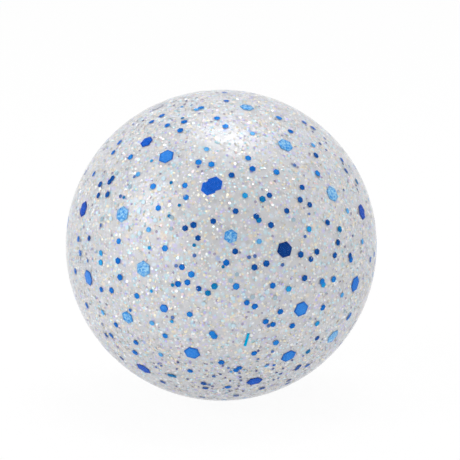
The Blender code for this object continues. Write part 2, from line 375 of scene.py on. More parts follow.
def make_film_grain():
    """Node group: the cloudy print, the fine ripple and the dark cut edge of metallised film, with the
    painted light and shade of single flakes; on the small dots the cloud is a painted reflection.
    """
    tree = bpy.data.node_groups.new("film_grain", "ShaderNodeTree")
    add_sockets(tree, "INPUT", [
        ("Cloud Scale", "Float", 900.0), ("Contrast", "Float", 0.5), ("Edge Strength", "Float", 0.5),
    ])
    add_sockets(tree, "OUTPUT", [
        ("Shade", "Float", None), ("Edge", "Float", None), ("Roughness", "Float", None),
        ("Height", "Float", None),
    ])
    given = add_node(tree, "NodeGroupInput").outputs
    place = add_node(tree, "ShaderNodeTexCoord")
    cloud = add_node(tree, "ShaderNodeTexNoise", {
        "Vector": place.outputs["Object"], "Scale": given["Cloud Scale"], "Detail": 2.0, "Roughness": 0.6,
    })
    spread = add_node(tree, "ShaderNodeMath", {
        0: cloud.outputs["Fac"], 1: MIDDLE_TONE,
    }, operation="SUBTRACT")
    # Painted light and shade of single flakes moves the middle of the print.
    tone = add_node(tree, "ShaderNodeAttribute", attribute_name="painted_light_shift")
    level = add_node(tree, "ShaderNodeMath", {0: tone.outputs["Fac"], 1: MIDDLE_TONE}, operation="ADD")
    push = add_node(tree, "ShaderNodeMath", {
        0: spread.outputs[0], 1: given["Contrast"], 2: level.outputs[0],
    }, operation="MULTIPLY_ADD", use_clamp=True)
    reach = add_node(tree, "ShaderNodeAttribute", attribute_name="from_middle")
    ragged = add_node(tree, "ShaderNodeMath", {
        0: spread.outputs[0], 1: EDGE_RAGGEDNESS, 2: reach.outputs["Fac"],
    }, operation="MULTIPLY_ADD")
    edge = add_node(tree, "ShaderNodeMapRange", {
        "Value": ragged.outputs[0], "From Min": 0.74, "From Max": 0.98,
        "To Max": given["Edge Strength"],
    }, interpolation_type="SMOOTHSTEP")
    ripple = add_node(tree, "ShaderNodeTexNoise", {
        "Vector": place.outputs["Object"], "Scale": 2600.0, "Detail": 1.0,
    })
    rough = add_node(tree, "ShaderNodeMapRange", {
        "Value": ripple.outputs["Fac"], "To Min": 0.26, "To Max": 0.44,
    })
    result = add_node(tree, "NodeGroupOutput")
    tree.links.new(push.outputs[0], result.inputs["Shade"])
    tree.links.new(edge.outputs["Result"], result.inputs["Edge"])
    tree.links.new(rough.outputs["Result"], result.inputs["Roughness"])
    tree.links.new(ripple.outputs["Fac"], result.inputs["Height"])
    return tree


def make_spots():
    """Node group: round spots in the mass of a material, a random number for each, and where they lie."""
    tree = bpy.data.node_groups.new("spots", "ShaderNodeTree")
    add_sockets(tree, "INPUT", [
        ("Scale", "Float", 1800.0), ("Share", "Float", 0.5), ("Size", "Float", 0.45),
        ("Core", "Float", 0.12), ("Strength", "Float", 1.0),
    ])
    add_sockets(tree, "OUTPUT", [("Chance", "Float", None), ("Mask", "Float", None)])
    given = add_node(tree, "NodeGroupInput").outputs
    place = add_node(tree, "ShaderNodeTexCoord")
    cells = add_node(tree, "ShaderNodeTexVoronoi", {
        "Vector": place.outputs["Object"], "Scale": given["Scale"],
    })
    chance = add_node(tree, "ShaderNodeSeparateColor", {"Color": cells.outputs["Color"]})
    shown = add_node(tree, "ShaderNodeMath", {
        0: chance.outputs["Green"], 1: given["Share"],
    }, operation="LESS_THAN")
    inside = add_node(tree, "ShaderNodeMapRange", {
        "Value": cells.outputs["Distance"], "From Min": given["Size"], "From Max": given["Core"],
        "To Max": given["Strength"],
    }, interpolation_type="SMOOTHSTEP")
    mask = add_node(tree, "ShaderNodeMath", {
        0: shown.outputs[0], 1: inside.outputs["Result"],
    }, operation="MULTIPLY")
    result = add_node(tree, "NodeGroupOutput")
    tree.links.new(chance.outputs["Red"], result.inputs["Chance"])
    tree.links.new(mask.outputs[0], result.inputs["Mask"])
    return tree


def fill_ramp(ramp, colours):
    """Even constant steps of the given colours."""
    ramp.interpolation = "CONSTANT"
    while len(ramp.elements) < len(colours):
        ramp.elements.new(1.0)
    for step, colour in enumerate(colours):
        ramp.elements[step].position = step / len(colours)
        ramp.elements[step].color = (*colour, 1.0)


# Materials

def clear_skin_material():
    """Clear soft rubber with a satin gloss and the faint waviness of a moulding."""
    material, tree, shader = new_material("clear_rubber_skin")
    place = add_node(tree, "ShaderNodeTexCoord")
    wave = add_node(tree, "ShaderNodeTexNoise", {
        "Vector": place.outputs["Object"], "Scale": 130.0, "Detail": 2.0,
    })
    haze = add_node(tree, "ShaderNodeTexNoise", {
        "Vector": place.outputs["Object"], "Scale": 420.0, "Detail": 3.0,
    })
    rough = add_node(tree, "ShaderNodeMapRange", {
        "Value": haze.outputs["Fac"], "To Min": 0.10, "To Max": 0.18,
    })
    bump = add_node(tree, "ShaderNodeBump", {
        "Height": wave.outputs["Fac"], "Strength": 0.25, "Distance": 0.2 * MM,
    })
    set_inputs(tree, shader, {
        "Base Color": (0.97, 0.98, 1.0, 1.0),
        "Roughness": rough.outputs["Result"],
        "IOR": SKIN_IOR,
        "Transmission Weight": 1.0,
        "Normal": bump.outputs["Normal"],
    })
    return material


def wetted_face_material():
    """Inside of the skin: the gel wets it and bends light as the skin does, so nothing shines there."""
    material, tree, shader = new_material("wetted_inner_face")
    set_inputs(tree, shader, {
        "Base Color": (1.0, 1.0, 1.0, 1.0),
        "Roughness": 0.0,
        "IOR": 1.0,
        "Transmission Weight": 1.0,
    })
    return material


def milky_neck_material():
    """Thick wall of the fill neck, where the clear rubber turns milky."""
    material, tree, shader = new_material("milky_neck_rubber")
    place = add_node(tree, "ShaderNodeTexCoord")
    cloud = add_node(tree, "ShaderNodeTexNoise", {
        "Vector": place.outputs["Object"], "Scale": 500.0, "Detail": 3.0,
    })
    milk = mix_colour(tree, cloud.outputs["Fac"], (0.84, 0.85, 0.87, 1.0), (0.93, 0.94, 0.96, 1.0))
    set_inputs(tree, shader, {
        "Base Color": milk,
        "Roughness": 0.5,
    })
    return material


# Gel: tints of its soft clouds, of its fine flecks and of the dots deep in it, and its dusky edge
CLOUD_TINTS = (
    (0.88, 0.88, 0.89),
    (0.62, 0.88, 0.95),
    (0.95, 0.81, 0.64),
    (0.66, 0.62, 0.90),
    (0.55, 0.55, 0.55),
    (0.78, 0.87, 0.97),
)
FLECK_TINTS = (
    (0.99, 0.99, 0.99),
    (0.76, 0.98, 0.99),
    (0.99, 0.92, 0.74),
    (0.76, 0.72, 0.98),
    (0.99, 0.84, 0.86),
    (0.58, 0.57, 0.60),
)
GEL_EDGE_TINT = (0.40, 0.37, 0.52)
SUNKEN_TINTS = (
    (0.42, 0.68, 0.90),
    (0.36, 0.70, 0.78),
    (0.34, 0.46, 0.84),
)


def gel_material(spots):
    """Pearly grey gel: soft clouds, pastel flecks of two sizes, and blue dots that lie deep in it."""
    material, tree, shader = new_material("pearl_gel")
    place = add_node(tree, "ShaderNodeTexCoord")
    cloud = add_node(tree, "ShaderNodeTexNoise", {
        "Vector": place.outputs["Object"], "Scale": 240.0, "Detail": 4.0, "Roughness": 0.65,
    })
    colour = mix_colour(tree, cloud.outputs["Fac"], (0.63, 0.63, 0.63, 1.0), (0.75, 0.75, 0.75, 1.0))
    layers = (
        (CLOUD_TINTS, {"Scale": 850.0, "Share": 0.7, "Size": 0.7, "Core": 0.1, "Strength": 0.75}),
        (SUNKEN_TINTS, {"Scale": 430.0, "Share": 0.12, "Size": 0.34, "Core": 0.1, "Strength": 0.7}),
        (FLECK_TINTS, {"Scale": 1500.0, "Share": 0.6, "Size": 0.5, "Core": 0.15, "Strength": 0.9}),
    )
    for tints, settings in layers:
        layer = add_node(tree, "ShaderNodeGroup", settings, node_tree=spots)
        ramp = add_node(tree, "ShaderNodeValToRGB", {"Fac": layer.outputs["Chance"]})
        fill_ramp(ramp.color_ramp, tints)
        colour = mix_colour(tree, layer.outputs["Mask"], colour, ramp.outputs["Color"])
    sheen = add_node(tree, "ShaderNodeMapRange", {
        "Value": cloud.outputs["Fac"], "To Min": 0.34, "To Max": 0.44,
    })
    set_inputs(tree, shader, {
        "Base Color": colour,
        "Roughness": sheen.outputs["Result"],
        "Metallic": 0.2,
        "Specular Tint": (*GEL_EDGE_TINT, 1.0),
    })
    return material


def film_material(name, grain, film):
    """Metallised film of one tint, with its cloudy print, fine ripple and dark cut edge."""
    material, tree, shader = new_material(name)
    look = add_node(tree, "ShaderNodeGroup", {
        "Cloud Scale": film["cloud_scale"], "Contrast": film["contrast"],
        "Edge Strength": film["edge_strength"],
    }, node_tree=grain)
    face = mix_colour(tree, look.outputs["Shade"], (*film["dark"], 1.0), (*film["light"], 1.0))
    colour = mix_colour(tree, look.outputs["Edge"], face, (*film["edge"], 1.0))
    bump = add_node(tree, "ShaderNodeBump", {
        "Height": look.outputs["Height"], "Strength": 0.15, "Distance": 0.03 * MM,
    })
    set_inputs(tree, shader, {
        "Base Color": colour,
        "Roughness": look.outputs["Roughness"],
        "Specular IOR Level": 0.0,
        "Specular Tint": (*film["light"], 1.0),
        "Metallic": FILM_METALLIC,
        "Normal": bump.outputs["Normal"],
    })
    return material


def pearl_material(name, colour, metallic):
    """One tint of fine pearl glitter, a film that mirrors the lamps and turns dusky at its edge."""
    material, tree, shader = new_material(name)
    set_inputs(tree, shader, {
        "Base Color": (*colour, 1.0),
        "Metallic": metallic,
        "Roughness": PEARL_ROUGHNESS,
        "Specular Tint": (*[value * PEARL_EDGE_SHARE for value in colour], 1.0),
    })
    return material


def plug_material():
    """Satin translucent rubber, a little cloudy."""
    material, tree, shader = new_material("satin_plug_rubber")
    place = add_node(tree, "ShaderNodeTexCoord")
    cloud = add_node(tree, "ShaderNodeTexNoise", {
        "Vector": place.outputs["Object"], "Scale": 600.0, "Detail": 3.0,
    })
    colour = mix_colour(tree, cloud.outputs["Fac"], (0.60, 0.62, 0.65, 1.0), (0.70, 0.72, 0.75, 1.0))
    rough = add_node(tree, "ShaderNodeMapRange", {
        "Value": cloud.outputs["Fac"], "To Min": 0.30, "To Max": 0.45,
    })
    set_inputs(tree, shader, {
        "Base Color": colour,
        "Roughness": rough.outputs["Result"],
    })
    return material


# Turned pieces

def arc(radius, start, end, centre=(0.0, 0.0), step=ARC_STEP):
    """Points (axial, radial) on an arc about a centre, angles measured from +X."""
    steps = max(2, round(abs(end - start) / step))
    angles = [start + (end - start) * number / steps for number in range(steps + 1)]
    return [
        (centre[0] + radius * math.cos(angle), centre[1] + radius * math.sin(angle))
        for angle in angles
    ]


def turned_mesh(profile):
    """Turn a profile of (axial, radial) points about the X axis into a closed bmesh."""
    mesh = bmesh.new()
    points = [mesh.verts.new((axial, 0.0, radial)) for axial, radial in profile]
    rim = [mesh.edges.new(pair) for pair in zip(points, points[1:])]
    bmesh.ops.spin(
        mesh, geom=points + rim, cent=(0, 0, 0), axis=(1, 0, 0),
        angle=2 * math.pi, steps=TURN_STEPS, use_merge=True,
    )
    bmesh.ops.remove_doubles(mesh, verts=mesh.verts[:], dist=MERGE_DISTANCE)
    bmesh.ops.recalc_face_normals(mesh, faces=mesh.faces[:])
    return mesh


def settle(mesh, inner, outer, level):
    """Flatten the bottom softly where the ball settles, on points between two radii."""
    for point in mesh.verts:
        if inner < point.co.length < outer:
            above = (point.co.z - level) / FOOT_SOFTNESS
            if above < FOOT_REACH:
                point.co.z = level + FOOT_SOFTNESS * math.log1p(math.exp(above))


def finish_piece(name, mesh, materials):
    """Make the object of a piece: its place goes into the mesh, round faces are shaded smooth."""
    bmesh.ops.translate(mesh, verts=mesh.verts[:], vec=CENTRE)
    data = mesh_data(name, mesh)
    data.shade_smooth()
    data.set_sharp_from_angle(angle=SHARP_ANGLE)
    for material in materials:
        data.materials.append(material)
    return add_object(name, data)


def seat_sizes():
    """Axial places of the seat's rim and floor."""
    rim = math.sqrt(BALL_RADIUS**2 - (SEAT_RADIUS + SEAT_LIP)**2)
    floor = math.sqrt(BALL_RADIUS**2 - SEAT_RADIUS**2) - SEAT_DEPTH
    return rim, floor


def make_skin():
    """The clear moulding: outside, rounded seat, neck bore, neck and inside."""
    rim, floor = seat_sizes()
    profile = arc(BALL_RADIUS, math.pi, math.asin((SEAT_RADIUS + SEAT_LIP) / BALL_RADIUS))
    lip_centre = (rim - SEAT_LIP, SEAT_RADIUS + SEAT_LIP)
    profile += arc(SEAT_LIP, 0.0, -math.pi / 2, lip_centre, LIP_STEP)[1:]
    profile += [
        (floor, SEAT_RADIUS),
        (floor, NECK_BORE_RADIUS),
        (NECK_END, NECK_BORE_RADIUS),
        (NECK_END, NECK_RADIUS),
    ]
    profile += arc(INNER_RADIUS, math.asin(NECK_RADIUS / INNER_RADIUS), math.pi)
    mesh = turned_mesh(profile)
    middle_wall = BALL_RADIUS - SKIN_WALL / 2
    settle(mesh, 0.0, middle_wall, FOOT_LEVEL + SKIN_WALL)
    settle(mesh, middle_wall, 2 * BALL_RADIUS, FOOT_LEVEL)
    for face in mesh.faces:
        middle = face.calc_center_median()
        from_axis = middle.yz.length
        if 0 < middle.x < floor - GAP and from_axis < NECK_RADIUS + GAP:
            face.material_index = MILKY_FACE
        elif middle.length < middle_wall and from_axis > NECK_RADIUS:
            face.material_index = WETTED_FACE
    materials = [clear_skin_material(), wetted_face_material(), milky_neck_material()]
    return finish_piece("clear_skin", mesh, materials)


def make_gel(spots):
    """The pearly filling, closed round the neck and the plug's barb."""
    room = NECK_RADIUS + GEL_AT_NECK
    end = NECK_END - GEL_AT_NECK
    barb_room = BARB_RADIUS + GAP
    barb_end = end - BARB_LENGTH - GAP
    profile = arc(GEL_RADIUS, math.pi, math.asin(room / GEL_RADIUS))
    profile += [(end, room), (end, barb_room), (barb_end, barb_room), (barb_end, 0.0)]
    mesh = turned_mesh(profile)
    settle(mesh, 0.0, BALL_RADIUS, GEL_FOOT_LEVEL)
    return finish_piece("pearl_gel_filling", mesh, [gel_material(spots)])


def make_plug():
    """Stopper with a domed head flush in its seat, a stem and a barb."""
    floor = seat_sizes()[1]
    head = SEAT_RADIUS - GAP
    stem = NECK_BORE_RADIUS - GAP
    barb = NECK_END - GAP
    profile = arc(BALL_RADIUS, 0.0, math.asin((head - SEAT_LIP) / BALL_RADIUS), step=DOME_STEP)
    lip_centre = (profile[-1][0] - SEAT_LIP, head - SEAT_LIP)
    profile += arc(SEAT_LIP, 0.0, math.pi / 2, lip_centre, LIP_STEP)[1:]
    profile += [
        (floor + GAP, head),
        (floor + GAP, stem),
        (barb, stem),
        (barb, BARB_RADIUS),
        (barb - BARB_LAND, BARB_RADIUS),
        (barb - BARB_LENGTH, BARB_TIP_RADIUS),
        (barb - BARB_LENGTH, 0.0),
    ]
    return finish_piece("satin_fill_plug", turned_mesh(profile), [plug_material()])


# Large flakes

# Films of the large flakes: piece, ends of the cloudy print, cut edge, and how these are blended. The
# navy, royal, mid and pale films are lit and shaded copies of one blue film: the darker ones are painted
# shade and the lighter ones painted light, standing in for how much light each flake's tilt catches.
FLAKE_FILMS_AND_LIGHT_LEVELS = {
    "navy_film": {
        "piece": "navy_hexagon_flakes",
        "dark": (0.005, 0.044, 0.22), "light": (0.012, 0.082, 0.37), "edge": (0.003, 0.032, 0.16),
        "cloud_scale": 1500.0, "contrast": 2.0, "edge_strength": 0.6,
    },
    "royal_film": {
        "piece": "royal_hexagon_flakes",
        "dark": (0.010, 0.088, 0.52), "light": (0.022, 0.16, 0.71), "edge": (0.003, 0.050, 0.36),
        "cloud_scale": 1500.0, "contrast": 2.0, "edge_strength": 0.7,
    },
    "mid_film": {
        "piece": "bright_hexagon_flakes",
        "dark": (0.028, 0.21, 0.74), "light": (0.07, 0.34, 0.91), "edge": (0.008, 0.13, 0.56),
        "cloud_scale": 1500.0, "contrast": 2.0, "edge_strength": 0.8,
    },
    "pale_film": {
        "piece": "pale_hexagon_flakes",
        "dark": (0.05, 0.32, 0.80), "light": (0.42, 0.74, 0.96), "edge": (0.02, 0.24, 0.64),
        "cloud_scale": 2000.0, "contrast": 4.2, "edge_strength": 0.35,
    },
    "cyan_film": {
        "piece": "cyan_strip_flake",
        "dark": (0.0, 0.40, 0.76), "light": (0.0, 0.52, 0.90), "edge": (0.0, 0.34, 0.66),
        "cloud_scale": 1500.0, "contrast": 1.0, "edge_strength": 0.3,
    },
}

# How far single flakes lie from their film's middle tone, towards its dark (-) or light (+) end. These
# shifts are painted light and shade: each flake is painted lighter or darker to stand in for the light
# that its tilt catches, and flakes near the ball's outline are painted darker to hold back the pale sheen
# there.
FLAKE_PAINTED_LIGHT_SHIFTS = {
    "hexagon_flake_02": -0.5, "hexagon_flake_04": -0.5, "hexagon_flake_06": 0.1, "hexagon_flake_08": -0.5,
    "hexagon_flake_10": 0.1, "hexagon_flake_15": -0.12, "hexagon_flake_16": -0.07,
    "hexagon_flake_17": -0.08, "hexagon_flake_18": -0.17, "hexagon_flake_20": 0.12,
    "hexagon_flake_21": -0.25, "hexagon_flake_22": 0.1, "under_hexagon_flake": 0.4,
}

# The two that lie one over the other show no dark cut edge: their edge counts as this share of the way out
PLAIN_EDGED_FLAKES = ("hexagon_flake_06", "under_hexagon_flake")
PLAIN_EDGE_SHARE = 0.7

# Two flakes at the ball's outline painted pearl-grey, so that only their edge shows: a painted reflection
# that stands in for the pale sheen covering them at the outline.
OUTLINE_SHEEN_FLAKES = ("hexagon_flake_14", "hexagon_flake_39")
OUTLINE_SHEEN_FILM = {
    "dark": (0.54, 0.55, 0.58), "light": (0.66, 0.67, 0.70), "edge": (0.25, 0.25, 0.44),
    "cloud_scale": 1500.0, "contrast": 2.0, "edge_strength": 0.8,
}


def flake_corners(node):
    """Middle, outward direction and corners in turn of a CAD flake, from the ball's centre."""
    points = {tuple(round(value, POINT_DECIMALS) for value in vertex.co) for vertex in node.data.vertices}
    points = [Vector(point) - CENTRE for point in sorted(points)]
    middle = sum(points, Vector()) / len(points)
    outward = middle.normalized()
    side = outward.orthogonal().normalized()
    ahead = outward.cross(side)
    top = [point - middle for point in points if (point - middle).dot(outward) > 0]
    top.sort(key=lambda point: math.atan2(point.dot(ahead), point.dot(side)))
    return middle, outward, top


def add_flake(mesh, name, lift):
    """A thin plate in a flake's outline, gently crowned as it follows the skin."""
    from_middle = mesh.verts.layers.float["from_middle"]
    painted_light_shift = mesh.verts.layers.float["painted_light_shift"]
    # The flake's painted light or shade, as a shift of its tone.
    tone = FLAKE_PAINTED_LIGHT_SHIFTS.get(name, 0.0)
    edge_share = PLAIN_EDGE_SHARE if name in PLAIN_EDGED_FLAKES else 1.0
    middle, outward, corners = flake_corners(frame["nodes"][name])
    middle += outward * lift
    half = corners[0].dot(outward)
    flat = [corner - outward * half for corner in corners]
    loops = []
    for share, halves, crowns in FLAKE_RINGS:
        height = half * halves + FLAKE_CROWN * crowns
        loops.append([mesh.verts.new(middle + corner * share + outward * height) for corner in flat])
        for point in loops[-1]:
            point[from_middle] = share * edge_share
            point[painted_light_shift] = tone
    peak = mesh.verts.new(middle + outward * (half + FLAKE_CROWN))
    peak[painted_light_shift] = tone
    mesh.faces.new(loops[0][::-1])
    count = len(flat)
    for lower, upper in zip(loops, loops[1:]):
        for number in range(count):
            after = (number + 1) % count
            mesh.faces.new((lower[number], lower[after], upper[after], upper[number]))
    for number in range(count):
        mesh.faces.new((loops[-1][number], loops[-1][(number + 1) % count], peak))


def make_large_flakes(grain):
    """One piece for each film, with every flake that the record gives that film."""
    pieces = []
    for slot, film in FLAKE_FILMS_AND_LIGHT_LEVELS.items():
        nodes = [
            row["node"] for row in frame["record"]["subparts"] if row["material_slot"] == slot
        ]
        mesh = bmesh.new()
        mesh.verts.layers.float.new("from_middle")
        mesh.verts.layers.float.new("painted_light_shift")
        materials = [film_material(slot, grain, film)]
        for node in nodes:
            before = len(mesh.faces)
            add_flake(mesh, node, UNDER_LIFT if node == "under_hexagon_flake" else 0.0)
            # A flake at the outline gets the pearl-grey film, a painted reflection.
            if node in OUTLINE_SHEEN_FLAKES:
                materials.append(film_material("outline_sheen_" + slot, grain, OUTLINE_SHEEN_FILM))
                for face in list(mesh.faces)[before:]:
                    face.material_index = OUTLINE_SHEEN_FACE
        piece = finish_piece(film["piece"], mesh, materials)
        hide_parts(*nodes)
        pieces.append(piece)
    return pieces


# Scattered glitter

def make_scatter_tree():
    """Geometry Nodes: hexagon plates strewn over faces, and one on each loose point, in the gel."""
    tree = bpy.data.node_groups.new("glitter_scatter", "GeometryNodeTree")
    sockets = add_sockets(tree, "INPUT", [
        ("Geometry", "Geometry", None), ("Centre", "Vector", CENTRE),
        ("Flakes per Area", "Float", 1000.0), ("Corner Radius", "Float", 0.001),
        ("Thickness", "Float", 0.0001), ("Size Spread", "Float", 0.1), ("Tilt", "Float", 0.1),
        ("Lift Low", "Float", 0.0), ("Lift High", "Float", 0.0001), ("Keep Clear Of", "Object", None),
        ("Clearance", "Float", 0.001), ("Seed", "Int", 1), ("Material", "Material", None),
    ])
    add_sockets(tree, "OUTPUT", [("Geometry", "Geometry", None)])
    given = add_node(tree, "NodeGroupInput").outputs
    strewn = add_node(tree, "GeometryNodeDistributePointsOnFaces", {
        "Mesh": given["Geometry"], "Density": given["Flakes per Area"], "Seed": given["Seed"],
    }, distribute_method="RANDOM")
    touching = add_node(tree, "GeometryNodeInputMeshVertexNeighbors")
    loose = add_node(tree, "ShaderNodeMath", {
        0: touching.outputs["Face Count"], 1: 1.0,
    }, operation="LESS_THAN")
    placed = add_node(tree, "GeometryNodeMeshToPoints", {
        "Mesh": given["Geometry"], "Selection": loose.outputs[0],
    })
    points = add_node(tree, "GeometryNodeJoinGeometry", {0: strewn.outputs["Points"]})
    tree.links.new(placed.outputs["Points"], points.inputs[0])
    number = add_node(tree, "GeometryNodeInputIndex")
    place = add_node(tree, "GeometryNodeInputPosition")
    from_centre = add_node(tree, "ShaderNodeVectorMath", {
        0: place.outputs[0], 1: given["Centre"],
    }, operation="SUBTRACT")
    outward = add_node(tree, "ShaderNodeVectorMath", {0: from_centre.outputs[0]}, operation="NORMALIZE")
    lift = add_node(tree, "FunctionNodeRandomValue", {
        2: given["Lift Low"], 3: given["Lift High"], "ID": number.outputs[0], "Seed": given["Seed"],
    }, data_type="FLOAT")
    rise = add_node(tree, "ShaderNodeVectorMath", {
        0: outward.outputs[0], "Scale": lift.outputs[1],
    }, operation="SCALE")
    raised = add_node(tree, "GeometryNodeSetPosition", {
        "Geometry": points.outputs[0], "Offset": rise.outputs[0],
    })
    others = add_node(tree, "GeometryNodeObjectInfo", {"Object": given["Keep Clear Of"]})
    near = add_node(tree, "GeometryNodeProximity", {0: others.outputs["Geometry"]})
    crowded = add_node(tree, "FunctionNodeCompare", {
        0: near.outputs["Distance"], 1: given["Clearance"],
    }, data_type="FLOAT", operation="LESS_THAN")
    free = add_node(tree, "GeometryNodeDeleteGeometry", {
        "Geometry": raised.outputs[0], "Selection": crowded.outputs[0],
    }, domain="POINT")
    lean = add_node(tree, "ShaderNodeMath", {0: given["Tilt"], 1: -1.0}, operation="MULTIPLY")
    least = add_node(tree, "ShaderNodeCombineXYZ", {0: lean.outputs[0], 1: lean.outputs[0]})
    most = add_node(tree, "ShaderNodeCombineXYZ", {0: given["Tilt"], 1: given["Tilt"], 2: math.tau})
    turn = add_node(tree, "FunctionNodeRandomValue", {
        0: least.outputs[0], 1: most.outputs[0], "ID": number.outputs[0], "Seed": given["Seed"],
    }, data_type="FLOAT_VECTOR")
    turned = add_node(tree, "FunctionNodeEulerToRotation", {0: turn.outputs[0]})
    upright = add_node(tree, "FunctionNodeAlignRotationToVector", {
        "Vector": outward.outputs[0],
    }, axis="Z")
    lying = add_node(tree, "FunctionNodeRotateRotation", {
        "Rotation": upright.outputs[0], "Rotate By": turned.outputs[0],
    }, rotation_space="LOCAL")
    small = add_node(tree, "ShaderNodeMath", {0: 1.0, 1: given["Size Spread"]}, operation="SUBTRACT")
    large = add_node(tree, "ShaderNodeMath", {0: 1.0, 1: given["Size Spread"]}, operation="ADD")
    spread = add_node(tree, "FunctionNodeRandomValue", {
        2: small.outputs[0], 3: large.outputs[0], "ID": number.outputs[0], "Seed": given["Seed"],
    }, data_type="FLOAT")
    share = add_node(tree, "GeometryNodeInputNamedAttribute", {"Name": "flake_size"}, data_type="FLOAT")
    size = add_node(tree, "ShaderNodeMath", {
        0: spread.outputs[1], 1: share.outputs[0],
    }, operation="MULTIPLY")
    plate = add_node(tree, "GeometryNodeMeshCylinder", {
        "Vertices": 6, "Radius": given["Corner Radius"], "Depth": given["Thickness"],
    }, fill_type="TRIANGLE_FAN")
    flat = add_node(tree, "ShaderNodeVectorMath", {
        0: place.outputs[0], 1: (1.0, 1.0, 0.0),
    }, operation="MULTIPLY")
    across = add_node(tree, "ShaderNodeVectorMath", {0: flat.outputs[0]}, operation="LENGTH")
    reach = add_node(tree, "ShaderNodeMath", {
        0: across.outputs["Value"], 1: given["Corner Radius"],
    }, operation="DIVIDE")
    marked = add_node(tree, "GeometryNodeStoreNamedAttribute", {
        "Geometry": plate.outputs["Mesh"], "Name": "from_middle", "Value": reach.outputs[0],
    }, data_type="FLOAT", domain="POINT")
    plates = add_node(tree, "GeometryNodeInstanceOnPoints", {
        "Points": free.outputs[0], "Instance": marked.outputs[0],
        "Rotation": lying.outputs[0], "Scale": size.outputs[0],
    })
    real = add_node(tree, "GeometryNodeRealizeInstances", {"Geometry": plates.outputs[0]})
    painted = add_node(tree, "GeometryNodeSetMaterial", {
        "Geometry": real.outputs[0], "Material": given["Material"],
    })
    result = add_node(tree, "NodeGroupOutput")
    tree.links.new(painted.outputs[0], result.inputs[0])
    return tree, sockets


def scatter(name, tree, sockets, ground, values):
    """Scatter flakes over the ground mesh and keep the result as a plain mesh."""
    host = add_object(name + "_host", ground)
    modifier = host.modifiers.new("scatter", "NODES")
    modifier.node_group = tree
    for socket, value in values.items():
        modifier[sockets[socket].identifier] = value
    depsgraph = bpy.context.evaluated_depsgraph_get()
    data = bpy.data.meshes.new_from_object(host.evaluated_get(depsgraph), depsgraph=depsgraph)
    bpy.data.objects.remove(host, do_unlink=True)
    data.name = name
    data.shade_flat()
    return add_object(name, data)


def make_keep_clear(flakes):
    """One passing copy of all large flakes, which the small glitter keeps clear of."""
    mesh = bmesh.new()
    for piece in flakes:
        mesh.from_mesh(piece.data)
    return add_object("keep_clear", mesh_data("keep_clear", mesh))


def make_ground(places=()):
    """The gel's round surface, bare at the foot and the neck, for glitter to be strewn on.

    With places, (point, size) of each dot on the show side, the strewing keeps to the far side, with
    flakes of their mean size.
    """
    strewn_size = sum(share for _, share in places) / len(places) if places else 1.0
    towards = show_axes()[2]
    clear_of_neck = NECK_RADIUS + GLITTER_FROM_NECK
    mesh = bmesh.new()
    size = mesh.verts.layers.float.new("flake_size")
    bmesh.ops.create_icosphere(mesh, subdivisions=GROUND_ROUNDS, radius=GEL_RADIUS)
    bare = []
    for face in mesh.faces:
        middle = face.calc_center_median()
        at_neck = middle.x > 0 and middle.yz.length < clear_of_neck
        on_show = places and middle.normalized().dot(towards) > SHOW_EDGE
        if middle.z < GEL_FOOT_LEVEL or at_neck or on_show:
            bare.append(face)
    bmesh.ops.delete(mesh, geom=bare, context="FACES")
    for point in mesh.verts:
        point[size] = strewn_size
    for place, share in places:
        mesh.verts.new(place)[size] = share
    bmesh.ops.translate(mesh, verts=mesh.verts[:], vec=CENTRE)
    return mesh_data("glitter_ground", mesh)


# Small dots: film slot, share of the common size, strength of the dark edge, dark and light end
DOT_FILMS = {
    "navy": ("navy_film", 1.0, 0.4, (0.004, 0.075, 0.33), (0.014, 0.13, 0.50)),
    "royal": ("royal_film", 1.0, 0.4, (0.006, 0.14, 0.55), (0.02, 0.22, 0.74)),
    "bright": ("mid_film", 1.0, 0.4, (0.010, 0.20, 0.66), (0.035, 0.30, 0.84)),
    "sky": ("pale_film", 0.9, 0.4, (0.07, 0.38, 0.82), (0.18, 0.54, 0.94)),
    "cyan": ("cyan_film", 0.95, 0.4, (0.015, 0.32, 0.72), (0.04, 0.45, 0.88)),
    "teal": ("cyan_film", 1.0, 0.4, (0.004, 0.17, 0.44), (0.015, 0.28, 0.62)),
    "violet": ("royal_film", 1.0, 0.4, (0.06, 0.15, 0.42), (0.16, 0.28, 0.64)),
    "iris": ("royal_film", 0.42, 0.4, (0.09, 0.19, 0.50), (0.17, 0.29, 0.70)),
    "plum": ("navy_film", 0.42, 0.4, (0.10, 0.12, 0.32), (0.19, 0.20, 0.47)),
    "frost": ("pale_film", 0.75, 0.1, (0.60, 0.80, 0.90), (0.74, 0.90, 0.97)),
    "mist": ("pale_film", 0.7, 0.1, (0.36, 0.52, 0.62), (0.50, 0.64, 0.72)),
}

# Fine pearl glitter: flakes on the whole ball, colour, share of metal, and most tilt in degrees
PEARL_TINTS = {
    "white": {"count": 5200, "colour": (0.98, 0.98, 0.97), "metallic": 0.5, "tilt": 30},
    "ice": {"count": 3500, "colour": (0.66, 0.90, 0.97), "metallic": 0.5, "tilt": 22},
    "cream": {"count": 3800, "colour": (0.97, 0.89, 0.67), "metallic": 0.5, "tilt": 26},
    "lilac": {"count": 1300, "colour": (0.62, 0.57, 0.92), "metallic": 0.6, "tilt": 20},
    "blush": {"count": 1500, "colour": (0.94, 0.76, 0.76), "metallic": 0.5, "tilt": 22},
    "shade": {"count": 700, "colour": (0.42, 0.38, 0.50), "metallic": 0.6, "tilt": 16},
}


